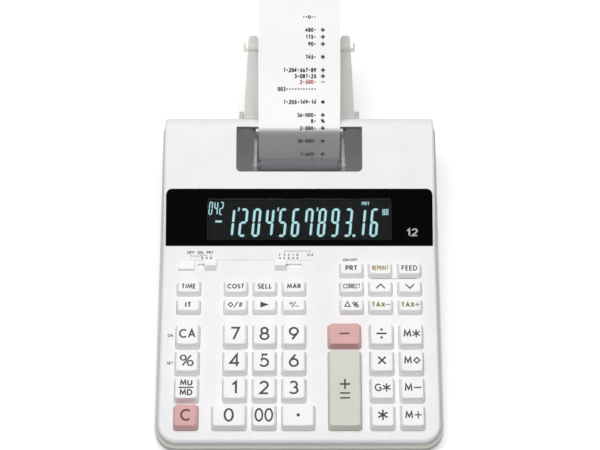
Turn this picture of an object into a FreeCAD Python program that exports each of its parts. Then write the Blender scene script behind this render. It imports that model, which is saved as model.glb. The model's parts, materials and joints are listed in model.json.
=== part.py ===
import FreeCAD, Part
import math
import os
from FreeCAD import Vector

# Printing desk calculator: a sloped two-piece case, sprung keys, a tilted display,
# a drum printer under a hinged smoked cover, and a paper roll on folding arms.
# Lengths are millimetres and angles degrees. The model is drawn with x = 0 on the
# centre line, y = 0 at the front of the case and z = 0 on the desk. On export it is
# moved so that the origin is under the middle of the whole object.

# Case
side_margin = 13.1
front_corner_radius = 15.0
rear_corner_radius = 10.0
wall = 2.4
floor_thickness = 2.2
bottom_bevel = 2.5
parting_front_height = 10.0
deck_tilt = 8.2
rim_inset = 2.5
rim_shelf_width = 6.5
rim_shelf_thickness = 2.4
top_edge_bevel = 1.3

# Deck, display face and printer hood, measured along their slopes
keyboard_front_height = 15.5
keyboard_rear_margin = 10.4
display_length = 40.0
display_tilt = 22.0
hood_rear_margin = 13.6
hood_tilt = 16.0
deck_bend_radius = 4.0
hood_bend_radius = 5.0
hood_rear_radius = 14.0
rear_wall_inset = 4.0

# Feet
foot_radius = 6.5
foot_height = 2.0
foot_edge_inset = 16.0

# Keys: spacings are the gaps between neighbouring caps at the deck
key_width = 16.4
key_length = 17.0
wide_key_width = 22.4
zero_key_width = 23.4
key_spacing = 3.6
row_spacing = 2.1
group_spacing = 9.1
operator_spacing = 5.8
memory_spacing = 3.8
paper_spacing = 3.5
front_margin = 10.1
number_rows = 4
function_margin = 7.8
function_length = 10.2
function_spacing = 3.2
key_height = 6.6
function_height = 5.0
key_side_draft = 1.1
key_front_draft = 1.9
key_rear_draft = 0.7
key_corner_bevel = 0.7
key_dish = 0.35
key_gap = 0.3
key_travel = 2.2
key_flange_lip = 0.9
key_flange_thickness = 1.2
key_flange_setback = 0.6
seat_gap = 0.05

# Key mat and main board under the deck
mat_thickness = 1.0
mat_pad_size = 5.0
mat_pad_height = 1.4
mat_pad_gap = 0.1
mat_margin = 3.0
board_thickness = 1.6
board_margin = 2.0
board_post_size = 6.0
board_post_inset = 6.0

# Slide switches: knob places are measured from the left end of their groove
groove_margin = 8.6
groove_length = 8.0
groove_depth = 0.6
groove_inset = 0.4
groove_end_margin = 7.25
pad_width = 11.4
pad_height = 1.2
pad_inset = 0.6
knob_width = 7.9
knob_length = 6.4
knob_top_length = 4.2
knob_height = 4.2
knob_gap = 0.3
knob_neck_width = 5.0
knob_neck_length = 2.0
knob_foot_lip = 1.2
knob_foot_thickness = 1.2
power_knob_place = 22.3
power_step = 3.0
power_positions = 3
decimal_knob_place = 70.8
decimal_step = 3.0
decimal_positions = 5

# Display window and liquid crystal panel
window_edge = 0.5
window_thickness = 1.2
window_front = 0.4
window_rear_margin = 0.4
window_corner_radius = 4.0
window_gap = 0.15
lcd_view_width = 128.6
lcd_view_front = 4.2
lcd_view_rear_margin = 6.6
lcd_border = 3.0
lcd_thickness = 2.6

# Paper
paper_width = 57.5
paper_thickness = 0.3
paper_gap = 0.3
paper_rise = 60.0
paper_curl_radius = 86.0
paper_end_heading = -10.0
roll_radius = 26.0

# Printer mechanism
platen_radius = 6.5
platen_overhang = 0.5
platen_end_gap = 0.75
platen_drop = 23.4
drum_radius = 5.0
drum_sides = 12
drum_setback = 2.75
print_gap = 0.5
ink_radius = 4.0
ink_overhang = 1.0
ink_angle = 107.0
roller_gap = 0.3
roller_shaft_radius = 1.6
shaft_overhang = 1.0
frame_plate = 2.2
frame_front_reach = 7.5
frame_rear_reach = 9.0
frame_top_margin = 3.5
frame_drop = 18.0
frame_post_size = 8.0

# Printer cover and well, measured up the hood from the display's top edge
cover_side_reach = 14.0
cover_front = 13.3
cover_length = 31.2
cover_tab_width = 11.0
cover_tab_length = 1.8
cover_thickness = 1.8
cover_corner_radius = 3.0
cover_gap = 0.4
cover_ear_depth = 5.5
cover_ear_thickness = 2.0
cover_ear_length = 7.8
cover_pin_radius = 1.0
cover_pin_length = 2.0
cover_axis_setback = 1.8
cover_axis_depth = 1.7
pin_clearance = 0.06
rear_shelf_depth = 1.2
paper_slot = 3.2

# Paper holder arms, and the paper inlet in the rear wall below them
pivot_setback = 4.5
pivot_drop = 3.6
pivot_pin_radius = 2.5
pivot_bar_radius = 3.0
pivot_ear_radius = 4.8
pivot_ear_width = 3.0
pivot_gap = 0.3
arm_run = 42.5
arm_rise = 28.0
arm_side_gap = 1.05
arm_base_width = 10.2
arm_tip_width = 6.6
arm_thickness = 5.0
arm_overrun = 8.5
arm_tip_radius = 2.0
roll_pin_radius = 3.9
roll_pin_clearance = 0.3
roll_pin_length = 6.5
hook_reach = 3.8
hook_bar = 2.4
hook_prong = 1.4
hook_length = 6.0
inlet_margin = 2.8
inlet_depth = 5.0

# Key columns, from the steps between their centres
number_pitch = key_width + key_spacing
row_pitch = key_length + row_spacing
function_pitch = function_length + function_spacing
number_step = zero_key_width + group_spacing
total_step = 1.5 * wide_key_width + group_spacing - key_width / 2
operator_step = (wide_key_width + key_width) / 2 + operator_spacing
memory_step = key_width + memory_spacing
keys_span = number_step + 2 * number_pitch + total_step + operator_step + memory_step
column_left = -keys_span / 2
column_number = column_left + number_step
column_total = column_number + 2 * number_pitch + total_step
column_operator = column_total + operator_step
column_memory = column_operator + memory_step
column_paper = column_operator - key_width - paper_spacing

# Distances up the deck, from the front of the case
function_row = front_margin + number_rows * row_pitch - row_spacing + function_margin
groove_start = function_row + function_pitch + function_length + groove_margin
groove_left = column_left - key_width / 2 + groove_inset
power_knob_x = groove_left + power_knob_place
decimal_knob_x = groove_left + decimal_knob_place
keyboard_length = groove_start + groove_length + keyboard_rear_margin
flange_bottom = wall + seat_gap + key_flange_thickness
mat_top = flange_bottom + key_travel + mat_pad_gap + mat_pad_height
board_top = mat_top + mat_thickness

# Distances up the hood, and widths that follow the paper
cover_end = cover_front + cover_length
cover_rear = cover_end - cover_tab_length
cover_axis_along = cover_end - cover_axis_setback
paper_slot_along = cover_rear + cover_gap + paper_slot / 2
opening_rear = cover_rear + cover_gap + paper_slot
hood_length = opening_rear + hood_rear_margin
platen_length = paper_width + 2 * platen_overhang
drum_length = paper_width - 2 * drum_setback
ink_length = drum_length + 2 * ink_overhang
frame_inner_width = platen_length + 2 * platen_end_gap
cover_width = frame_inner_width + 2 * cover_side_reach
arm_inner_x = paper_width / 2 + arm_side_gap
roll_bore_radius = roll_pin_radius + roll_pin_clearance
lcd_view_length = display_length - lcd_view_front - lcd_view_rear_margin

# The three slopes and the case around them
deck_slope = math.radians(deck_tilt)
display_slope = math.radians(display_tilt)
hood_slope = math.radians(hood_tilt)
deck_origin = Vector(0, 0, keyboard_front_height)
display_origin = deck_origin + Vector(0, math.cos(deck_slope), math.sin(deck_slope)) * keyboard_length
hood_origin = display_origin + Vector(0, math.cos(display_slope), math.sin(display_slope)) * display_length
rear_wall_y = hood_origin.y + hood_length * math.cos(hood_slope)
case_depth = rear_wall_y + rear_wall_inset
case_width = keys_span + key_width + 2 * side_margin
window_width = case_width - 2 * (rim_inset + top_edge_bevel + window_edge)

# The paper arms behind the case
pivot_y = case_depth + pivot_setback
pivot_height = parting_front_height + case_depth * math.tan(deck_slope) - pivot_drop
arm_pin_y = pivot_y + arm_run
arm_pin_height = pivot_height + arm_rise
overall_depth = arm_pin_y + roll_radius

# Longer than the whole object, for cuts that run right through
far = 400.0

# An edge counts as sharp where its two faces turn by more than this (cosine of the turn)
sharp_turn = 0.5


def box(x0, x1, y0, y1, z0, z1):
    return Part.makeBox(x1 - x0, y1 - y0, z1 - z0, Vector(x0, y0, z0))


def cylinder_x(radius, x0, x1, y, z):
    return Part.makeCylinder(radius, x1 - x0, Vector(x0, y, z), Vector(1, 0, 0))


def tapered_block(base, top):
    """A block with sloped flat sides between two level rectangles (x0, x1, y0, y1, z)."""
    left, right, front, rear, bottom = base
    top_left, top_right, top_front, top_rear, height = top
    block = Part.makeWedge(
        left, bottom, -rear, -top_rear, top_left, right, height, -front, -top_front, top_right
    )
    block.rotate(Vector(0, 0, 0), Vector(1, 0, 0), 90)
    return block


def turned(shape, tilt, origin):
    """Stand a shape drawn on a level plane on a plane sloped up towards the rear."""
    shape = shape.copy()
    shape.rotate(Vector(0, 0, 0), Vector(1, 0, 0), tilt)
    shape.translate(origin)
    return shape


def on_deck(shape):
    return turned(shape, deck_tilt, deck_origin)


def on_display(shape):
    return turned(shape, display_tilt, display_origin)


def on_hood(shape):
    return turned(shape, hood_tilt, hood_origin)


def hood_point(along, depth):
    """A point on the centre line, up the hood and below its surface."""
    up_slope = Vector(0, math.cos(hood_slope), math.sin(hood_slope))
    inward = Vector(0, math.sin(hood_slope), -math.cos(hood_slope))
    return hood_origin + up_slope * along + inward * depth


def rounded_wire(points, radii):
    """A closed wire through the points, each corner rounded by its own radius."""
    count = len(points)
    starts = []
    ends = []
    middles = []
    for i, corner in enumerate(points):
        back = (points[i - 1] - corner).normalize()
        ahead = (points[(i + 1) % count] - corner).normalize()
        half_angle = back.getAngle(ahead) / 2
        run = radii[i] / math.tan(half_angle)
        inward = (back + ahead).normalize()
        starts.append(corner + back * run)
        ends.append(corner + ahead * run)
        middles.append(corner + inward * (radii[i] / math.sin(half_angle) - radii[i]))
    edges = []
    for i in range(count):
        if radii[i] > 0:
            edges.append(Part.Arc(starts[i], middles[i], ends[i]).toShape())
        edges.append(Part.LineSegment(ends[i], starts[(i + 1) % count]).toShape())
    return Part.Wire(edges)


def rounded_rectangle(x0, x1, y0, y1, z, front_radius, rear_radius):
    points = [Vector(x0, y0, z), Vector(x1, y0, z), Vector(x1, y1, z), Vector(x0, y1, z)]
    return rounded_wire(points, [front_radius, front_radius, rear_radius, rear_radius])


def case_outline(inset, z):
    """The plan outline of the case, set in evenly from the grey rim."""
    half = case_width / 2 - inset
    front = front_corner_radius - inset
    rear = rear_corner_radius - inset
    return rounded_rectangle(-half, half, inset, case_depth - inset, z, front, rear)


def parting_wedge(offset):
    """Everything above the sloped plane where the two case halves meet."""
    block = box(-far, far, -far, far, 0, far)
    return turned(block, deck_tilt, Vector(0, 0, parting_front_height + offset))


def roller_axes():
    """Axes of the platen, the print drum and the ink roller."""
    slot = hood_point(paper_slot_along, cover_thickness)
    platen_height = slot.z - platen_drop
    reach = platen_radius + paper_gap + paper_thickness / 2
    rise = math.radians(paper_rise)
    leave_height = platen_height + reach * math.cos(rise)
    leave_y = slot.y - (slot.z - leave_height) / math.tan(rise)
    platen = Vector(0, leave_y + reach * math.sin(rise), platen_height)
    drum_reach = reach + paper_thickness / 2 + print_gap + drum_radius
    drum = platen - Vector(0, drum_reach, 0)
    lean = math.radians(ink_angle)
    ink = drum + Vector(0, math.cos(lean), math.sin(lean)) * (drum_radius + ink_radius + roller_gap)
    return platen, drum, ink


def key_table():
    """Every key: name, centre x, front edge, width, length and height above the deck."""
    keys = []
    digit_columns = [column_number + number_pitch * i for i in range(3)]
    right_edge = digit_columns[0] + key_width / 2

    def add(name, x, row, width=key_width, rows=1):
        length = key_length + (rows - 1) * row_pitch
        keys.append((name, x, front_margin + row * row_pitch, width, length, key_height))

    def add_function(name, x, row):
        front = function_row + row * function_pitch
        keys.append((name, x, front, key_width, function_length, function_height))

    for row, name in enumerate(["clear", "mark_up", "percent", "clear_all"]):
        add("key_" + name, column_left, row)
    add("key_zero", right_edge - zero_key_width / 2, 0, zero_key_width)
    add("key_double_zero", digit_columns[1], 0)
    add("key_point", digit_columns[2] - key_width / 2 + wide_key_width / 2, 0, wide_key_width)
    digits = ["one", "two", "three", "four", "five", "six", "seven", "eight", "nine"]
    for i, name in enumerate(digits):
        add("key_" + name, digit_columns[i % 3], 1 + i // 3)
    add("key_plus", column_total, 0, wide_key_width, 3)
    add("key_minus", column_total, 3, wide_key_width)
    for row, name in enumerate(["total", "grand_total", "multiply", "divide"]):
        add("key_" + name, column_operator, row)
    for row, name in enumerate(["plus", "minus", "subtotal", "total"]):
        add("key_memory_" + name, column_memory, row)
    for row, name in enumerate(["item", "time"]):
        add_function("key_" + name, column_left, row)
    for column, names in enumerate([("sub_total", "cost"), ("backspace", "sell"), ("sign", "margin")]):
        for row, name in enumerate(names):
            add_function("key_" + name, digit_columns[column], row)
    paper_columns = {
        column_paper: ("change", "correct", "print"),
        column_operator: ("tax_minus", "up", "reprint"),
        column_memory: ("tax_plus", "down", "feed"),
    }
    for x, names in paper_columns.items():
        for row, name in enumerate(names):
            add_function("key_" + name, x, row)
    return keys


def make_key(x, front, width, length, height):
    """A drafted cap with a dished top, on a flange that stops under the deck."""
    half = width / 2
    rear = front + length
    base = (-half, half, front, rear, -wall - seat_gap)
    top_half = half - key_side_draft
    top = (-top_half, top_half, front + key_front_draft, rear - key_rear_draft, height)
    cap = tapered_block(base, top)
    corners = [edge for edge in cap.Edges if edge.BoundBox.ZLength > height]
    cap = cap.makeChamfer(key_corner_bevel, corners)
    dish_radius = (top_half ** 2 + key_dish ** 2) / (2 * key_dish)
    dish_axis = Vector(0, front - key_gap, height - key_dish + dish_radius)
    cap = cap.cut(Part.makeCylinder(dish_radius, length + 2 * key_gap, dish_axis, Vector(0, 1, 0)))
    flange_half = half + key_flange_lip
    flange_front = front + key_flange_setback
    flange_rear = rear - key_flange_setback
    flange = box(-flange_half, flange_half, flange_front, flange_rear, -flange_bottom, -wall - seat_gap)
    key = cap.fuse(flange)
    key.translate(Vector(x, 0, 0))
    return on_deck(key)


def knob_travel(step, positions):
    return step * (positions - 1)


def knob_slots():
    """Centre and half length of the slot under each slide knob."""
    half_neck = knob_neck_width / 2 + knob_gap
    power_run = knob_travel(power_step, power_positions)
    decimal_run = knob_travel(decimal_step, decimal_positions)
    power = (power_knob_x - power_run / 2, power_run / 2 + half_neck)
    decimal = (decimal_knob_x + decimal_run / 2, decimal_run / 2 + half_neck)
    return [power, decimal]


def knob_middle():
    return groove_start + groove_length / 2


def make_knob(x, travel):
    """A wedge finger piece on a neck through the deck, with a long foot that closes the slot from below."""
    front = groove_start + knob_gap
    rear = front + knob_length
    bottom = -groove_depth
    profile = [
        Vector(-knob_width / 2, front, bottom),
        Vector(-knob_width / 2, rear, bottom),
        Vector(-knob_width / 2, rear, knob_height),
        Vector(-knob_width / 2, rear - knob_top_length, knob_height),
        Vector(-knob_width / 2, front, bottom + groove_depth),
    ]
    wedge = Part.Face(Part.makePolygon(profile + profile[:1])).extrude(Vector(knob_width, 0, 0))
    half_neck = knob_neck_width / 2
    neck_front = knob_middle() - knob_neck_length / 2
    neck_rear = knob_middle() + knob_neck_length / 2
    foot_top = -wall - seat_gap
    foot_bottom = foot_top - knob_foot_thickness
    neck = box(-half_neck, half_neck, neck_front, neck_rear, foot_top, bottom)
    foot_half = half_neck + travel + knob_foot_lip
    foot_front = neck_front - knob_foot_lip
    foot_rear = neck_rear + knob_foot_lip
    foot = box(-foot_half, foot_half, foot_front, foot_rear, foot_bottom, foot_top)
    knob = wedge.fuse([neck, foot]).removeSplitter()
    knob.translate(Vector(x, 0, 0))
    return on_deck(knob)


def hood_profile(inset):
    """Side outline of the upper case, set in by a wall, as a face to extrude."""
    deck_up = Vector(0, -math.sin(deck_slope), math.cos(deck_slope)) * inset
    display_up = Vector(0, -math.sin(display_slope), math.cos(display_slope)) * inset
    hood_up = Vector(0, -math.sin(hood_slope), math.cos(hood_slope)) * inset
    rear = rear_wall_y - inset
    front = -far
    deck_start = deck_origin - deck_up
    display_start = display_origin - display_up
    hood_start = hood_origin - hood_up

    def meet(first, first_slope, second, second_slope):
        rise = second.z - first.z - math.tan(second_slope) * (second.y - first.y)
        run = rise / (math.tan(first_slope) - math.tan(second_slope))
        return Vector(-far, first.y + run, first.z + math.tan(first_slope) * run)

    points = [
        Vector(-far, front, -far),
        Vector(-far, front, deck_start.z + math.tan(deck_slope) * (front - deck_start.y)),
        meet(deck_start, deck_slope, display_start, display_slope),
        meet(display_start, display_slope, hood_start, hood_slope),
        Vector(-far, rear, hood_start.z + math.tan(hood_slope) * (rear - hood_start.y)),
        Vector(-far, rear, -far),
    ]
    radii = [0, 0, deck_bend_radius + inset, hood_bend_radius - inset, hood_rear_radius - inset, 0]
    return Part.Face(rounded_wire(points, radii)).extrude(Vector(2 * far, 0, 0))


def upper_outline(inset, z):
    """The upper case in plan: rounded in front, running out past the rear wall."""
    half = case_width / 2 - rim_inset - inset
    front_radius = front_corner_radius - rim_inset - inset
    return rounded_rectangle(-half, half, rim_inset + inset, case_depth + wall, z, front_radius, 0)


def upper_block(inset):
    """The upper case as a solid, set in evenly from its outer skin."""
    walls = Part.Face(upper_outline(inset, 0)).extrude(Vector(0, 0, far))
    return walls.common(hood_profile(inset))


def bevelled_block():
    """The outer skin with one bevel round its top edge and down its rear corners."""
    block = upper_block(0)
    sharp = []
    for edge in block.Edges:
        middle = edge.CenterOfMass
        faces = block.ancestorsOfType(edge, Part.Face)
        first, second = [face.normalAt(*face.Surface.parameter(middle)) for face in faces]
        if first.dot(second) < sharp_turn and min(first.z, second.z) > -sharp_turn:
            sharp.append(edge)
    return block.makeChamfer(top_edge_bevel, sharp)


def printer_well():
    """Walls round the printer opening, hanging from the hood down to the lower case."""
    inner = cover_width / 2 + cover_gap
    outer = inner + wall
    front = cover_front - cover_gap
    rear = opening_rear + wall
    walls = box(-outer, outer, front - wall, rear, -far, 0)
    walls = walls.cut(box(-inner, inner, front, rear + wall, -far, far))
    return on_hood(walls)


def printer_opening():
    """The hole in the hood, and the shallow shelf behind it that the paper passes over."""
    half = cover_width / 2 + cover_gap
    radius = cover_corner_radius + cover_gap
    outline = rounded_rectangle(-half, half, cover_front - cover_gap, opening_rear, -2 * wall, radius, 0)
    hole = Part.Face(outline).extrude(Vector(0, 0, far))
    shelf = box(-half, half, opening_rear, far, -rear_shelf_depth, far)
    return on_hood(hole.fuse(shelf))


def cover_pin_holes():
    reach = cover_width / 2 + cover_gap + 2 * wall
    axis = hood_point(cover_axis_along, cover_axis_depth)
    return cylinder_x(cover_pin_radius + pin_clearance, -reach, reach, axis.y, axis.z)


def key_openings():
    holes = []
    for name, x, front, width, length, height in key_table():
        half = width / 2 + key_gap
        holes.append(box(x - half, x + half, front - key_gap, front + length + key_gap, -2 * wall, wall))
    return on_deck(Part.makeCompound(holes))


def switch_openings():
    """The shallow groove of the slide switches, with a slot under each knob."""
    groove_end = groove_start + groove_length
    last_place = decimal_knob_x + knob_travel(decimal_step, decimal_positions)
    groove_right = last_place + knob_width / 2 + groove_end_margin
    groove = box(groove_left, groove_right, groove_start, groove_end, -groove_depth, wall)
    front = knob_middle() - knob_neck_length / 2 - knob_gap
    rear = knob_middle() + knob_neck_length / 2 + knob_gap
    slots = [box(x - half, x + half, front, rear, -2 * wall, wall) for x, half in knob_slots()]
    return on_deck(groove.fuse(slots))


def switch_pad():
    front = groove_start + pad_inset
    rear = groove_start + groove_length - pad_inset
    return on_deck(box(groove_left, groove_left + pad_width, front, rear, -groove_depth, pad_height))


def window_plate(gap, thickness):
    """The display window in its own plane, with rounded corners at the top edge."""
    half = window_width / 2 + gap
    front = window_front - gap
    rear = display_length - window_rear_margin + gap
    outline = rounded_rectangle(-half, half, front, rear, -window_thickness, 0, window_corner_radius + gap)
    return on_display(Part.Face(outline).extrude(Vector(0, 0, thickness)))


def lcd_view():
    half = lcd_view_width / 2
    return on_display(box(-half, half, lcd_view_front, lcd_view_front + lcd_view_length, -2 * wall, 0))


def make_upper_case():
    shell = bevelled_block().cut(upper_block(wall))
    shell = shell.fuse(printer_well().common(upper_block(wall / 2)))
    shell = shell.common(parting_wedge(0))
    cuts = [printer_opening(), cover_pin_holes(), switch_openings()]
    cuts += [window_plate(window_gap, 2 * wall), lcd_view(), key_openings()]
    for cut in cuts:
        shell = shell.cut(cut)
    return shell.fuse(switch_pad()).removeSplitter()


def board_area(margin):
    """Left, right, front and rear edges of what lies under the whole keyboard."""
    side = key_width / 2 + key_flange_lip + margin
    front = front_margin - margin
    rear = groove_start + groove_length + margin
    return column_left - side, column_memory + side, front, rear


def lower_shell():
    outline = Part.Face(case_outline(0, foot_height))
    block = outline.extrude(Vector(0, 0, far))
    bottom = [edge for edge in block.Edges if edge.BoundBox.ZMax < foot_height + bottom_bevel / 2]
    block = block.makeChamfer(bottom_bevel, bottom)
    floor_top = foot_height + floor_thickness
    below_shelf = Part.Face(case_outline(wall, floor_top)).extrude(Vector(0, 0, far))
    below_shelf = below_shelf.cut(parting_wedge(-rim_shelf_thickness))
    inside_shelf = Part.Face(case_outline(rim_shelf_width, floor_top)).extrude(Vector(0, 0, far))
    return block.cut([below_shelf, inside_shelf, parting_wedge(0)])


def board_posts():
    """Square posts that carry the main board, cut off along its underside."""
    left, right, front, rear = board_area(board_margin)
    posts = []
    half = board_post_size / 2
    for x in (left + board_post_inset, right - board_post_inset):
        for along in (front + board_post_inset, (front + rear) / 2, rear - board_post_inset):
            y = along * math.cos(deck_slope)
            posts.append(box(x - half, x + half, y - half, y + half, foot_height, far))
    above = on_deck(box(-far, far, -far, far, -board_top - board_thickness, far))
    return [post.cut(above) for post in posts]


def frame_posts():
    """Square posts that carry the printer frame."""
    left, right, front, rear = frame_area()
    size = frame_post_size
    posts = []
    for x in (left, right - size):
        for y in (front, rear - size):
            posts.append(box(x, x + size, y, y + size, foot_height, frame_base()))
    return posts


def pivot_ears():
    """Lugs on the rear wall, one outside each arm, bored for the arm's pivot pin."""
    inner = arm_inner_x + arm_base_width + pivot_gap
    outer = inner + pivot_ear_width
    ears = []
    for x0, x1 in ((-outer, -inner), (inner, outer)):
        root = case_depth - wall
        web = box(x0, x1, root, pivot_y, pivot_height - pivot_ear_radius, pivot_height + pivot_ear_radius)
        boss = cylinder_x(pivot_ear_radius, x0, x1, pivot_y, pivot_height)
        bore = cylinder_x(pivot_pin_radius + pin_clearance, x0, x1, pivot_y, pivot_height)
        ears.append(web.fuse(boss).cut(bore))
    return ears


def paper_inlet():
    """The notch in the rear wall that the paper runs through, open up to the upper case."""
    half = paper_width / 2 + inlet_margin
    start, end = tape_run(0)
    slope = (start.z - end.z) / (start.y - end.y)
    bottom = end.z + slope * (case_depth - end.y) - inlet_depth
    return box(-half, half, case_depth - rim_shelf_width - wall, case_depth + wall, bottom, far)


def make_lower_case():
    shell = lower_shell().cut(paper_inlet())
    return shell.fuse(board_posts() + frame_posts() + pivot_ears()).removeSplitter()


def make_rubber_feet():
    """Four round feet under the corners, as one group."""
    half = case_width / 2 - foot_edge_inset
    feet = []
    for x in (-half, half):
        for y in (foot_edge_inset, case_depth - foot_edge_inset):
            feet.append(Part.makeCylinder(foot_radius, foot_height, Vector(x, y, 0)))
    return Part.makeCompound(feet)


def make_main_board():
    left, right, front, rear = board_area(board_margin)
    return on_deck(box(left, right, front, rear, -board_top - board_thickness, -board_top))


def make_key_mat():
    """A rubber sheet with one pad under each key, at the height of a pressed key."""
    left, right, front, rear = board_area(board_margin - mat_margin)
    mat = box(left, right, front, rear, -board_top, -mat_top)
    pads = []
    half = mat_pad_size / 2
    for name, x, key_front, width, length, height in key_table():
        y = key_front + length / 2
        pads.append(box(x - half, x + half, y - half, y + half, -mat_top, mat_pad_height - mat_top))
    return on_deck(mat.fuse(pads))


def make_display_window():
    return window_plate(0, window_thickness)


def make_lcd_panel():
    half = lcd_view_width / 2 + lcd_border
    front = lcd_view_front - lcd_border
    rear = lcd_view_front + lcd_view_length + lcd_border
    return on_display(box(-half, half, front, rear, -wall - lcd_thickness, -wall))


def make_printer_cover():
    """A flat lid with two rear tabs, hung on pins that stick out of its side ears."""
    half = cover_width / 2
    tab = half - cover_tab_width
    points = [
        Vector(-half, cover_front, -cover_thickness),
        Vector(half, cover_front, -cover_thickness),
        Vector(half, cover_end, -cover_thickness),
        Vector(tab, cover_end, -cover_thickness),
        Vector(tab, cover_rear, -cover_thickness),
        Vector(-tab, cover_rear, -cover_thickness),
        Vector(-tab, cover_end, -cover_thickness),
        Vector(-half, cover_end, -cover_thickness),
    ]
    radii = [cover_corner_radius, cover_corner_radius, 0, 0, 0, 0, 0, 0]
    plate = Part.Face(rounded_wire(points, radii)).extrude(Vector(0, 0, cover_thickness))
    ear_front = cover_end - cover_ear_length
    pieces = []
    for side in (-1, 1):
        edge = side * half
        inner = edge - side * cover_ear_thickness
        tip = edge + side * (cover_gap + cover_pin_length)
        left, right = sorted((edge, inner))
        pieces.append(box(left, right, ear_front, cover_end, -cover_ear_depth, -cover_thickness))
        left, right = sorted((tip, inner))
        pieces.append(cylinder_x(cover_pin_radius, left, right, cover_axis_along, -cover_axis_depth))
    return on_hood(plate.fuse(pieces).removeSplitter())


def frame_base():
    """Height of the underside of the printer frame."""
    return roller_axes()[0].z - frame_drop


def frame_area():
    """Left, right, front and rear edges of the printer frame's base."""
    platen, drum, ink = roller_axes()
    half = frame_inner_width / 2 + frame_plate
    return -half, half, drum.y - frame_front_reach, platen.y + frame_rear_reach


def make_printer_frame():
    """A U-shaped frame: a base and two cheeks bored for the three roller shafts."""
    platen, drum, ink = roller_axes()
    left, right, front, rear = frame_area()
    bottom = frame_base()
    base = box(left, right, front, rear, bottom, bottom + frame_plate)
    front_top = ink.z + roller_shaft_radius + frame_top_margin
    rear_top = platen.z + roller_shaft_radius + frame_top_margin
    points = [
        Vector(left, front, bottom),
        Vector(left, rear, bottom),
        Vector(left, rear, rear_top),
        Vector(left, platen.y, rear_top),
        Vector(left, drum.y, front_top),
        Vector(left, front, front_top),
    ]
    cheek = Part.Face(Part.makePolygon(points + points[:1])).extrude(Vector(frame_plate, 0, 0))
    other = cheek.copy()
    other.translate(Vector(frame_inner_width + frame_plate, 0, 0))
    frame = base.fuse([cheek, other])
    bore_radius = roller_shaft_radius + pin_clearance
    bores = [cylinder_x(bore_radius, left, right, axis.y, axis.z) for axis in (platen, drum, ink)]
    return frame.cut(bores).removeSplitter()


def roller_shaft(axis):
    reach = frame_inner_width / 2 + frame_plate + shaft_overhang
    return cylinder_x(roller_shaft_radius, -reach, reach, axis.y, axis.z)


def make_roller(axis, radius, length):
    body = cylinder_x(radius, -length / 2, length / 2, axis.y, axis.z)
    return body.fuse(roller_shaft(axis)).removeSplitter()


def make_print_drum(axis):
    """A many-sided drum with one printing face on each side."""
    turn = 2 * math.pi / drum_sides
    end = axis - Vector(drum_length / 2, 0, 0)
    points = []
    for i in range(drum_sides):
        spoke = Vector(0, math.cos(turn * i), math.sin(turn * i))
        points.append(end + spoke * drum_radius)
    drum = Part.Face(Part.makePolygon(points + points[:1])).extrude(Vector(drum_length, 0, 0))
    return drum.fuse(roller_shaft(axis)).removeSplitter()


def make_paper_roll():
    roll = cylinder_x(roll_radius, -paper_width / 2, paper_width / 2, arm_pin_y, arm_pin_height)
    return roll.cut(cylinder_x(roll_bore_radius, -paper_width, paper_width, arm_pin_y, arm_pin_height))


def tape_run(offset):
    """Ends of the straight run of paper under the roll and the platen, one skin of it."""
    platen = roller_axes()[0]
    roll = Vector(0, arm_pin_y, arm_pin_height)
    platen_reach = platen_radius + paper_gap + paper_thickness / 2 + offset
    roll_reach = roll_radius + paper_gap + paper_thickness / 2 + offset
    centre_line = roll - platen
    spread = math.asin((roll_reach - platen_reach) / centre_line.Length)
    climb = math.atan2(centre_line.z, centre_line.y) - spread
    under = Vector(0, math.sin(climb), -math.cos(climb))
    return roll + under * roll_reach, platen + under * platen_reach


def tape_side(offset):
    """One skin of the paper: under the roll, round the platen, up through the slot and over."""
    platen = roller_axes()[0]
    reach = platen_radius + paper_gap + paper_thickness / 2 + offset
    rise = math.radians(paper_rise)
    heading = math.radians(paper_end_heading)
    start, meet = tape_run(offset)
    wrap = Vector(0, -1, 0)
    outward = Vector(0, -math.sin(rise), math.cos(rise))
    leave = platen + outward * reach
    slot = hood_point(paper_slot_along, cover_thickness) + outward * offset
    radius = paper_curl_radius + offset
    centre = slot - outward * radius
    middle = (rise + heading) / 2
    top = centre + Vector(0, -math.sin(middle), math.cos(middle)) * radius
    end = centre + Vector(0, -math.sin(heading), math.cos(heading)) * radius
    return [
        Part.LineSegment(start, meet).toShape(),
        Part.Arc(meet, platen + wrap * reach, leave).toShape(),
        Part.LineSegment(leave, slot).toShape(),
        Part.Arc(slot, top, end).toShape(),
    ]


def make_paper_tape():
    """The strip of paper from the roll through the printer to its torn end."""
    inner = tape_side(-paper_thickness / 2)
    outer = tape_side(paper_thickness / 2)
    first = Part.LineSegment(inner[0].Vertexes[0].Point, outer[0].Vertexes[0].Point).toShape()
    last = Part.LineSegment(inner[-1].Vertexes[-1].Point, outer[-1].Vertexes[-1].Point).toShape()
    outline = Part.Wire(Part.__sortEdges__(inner + outer + [first, last]))
    strip = Part.Face(outline).extrude(Vector(paper_width, 0, 0))
    strip.translate(Vector(-paper_width / 2, 0, 0))
    return strip


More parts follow.
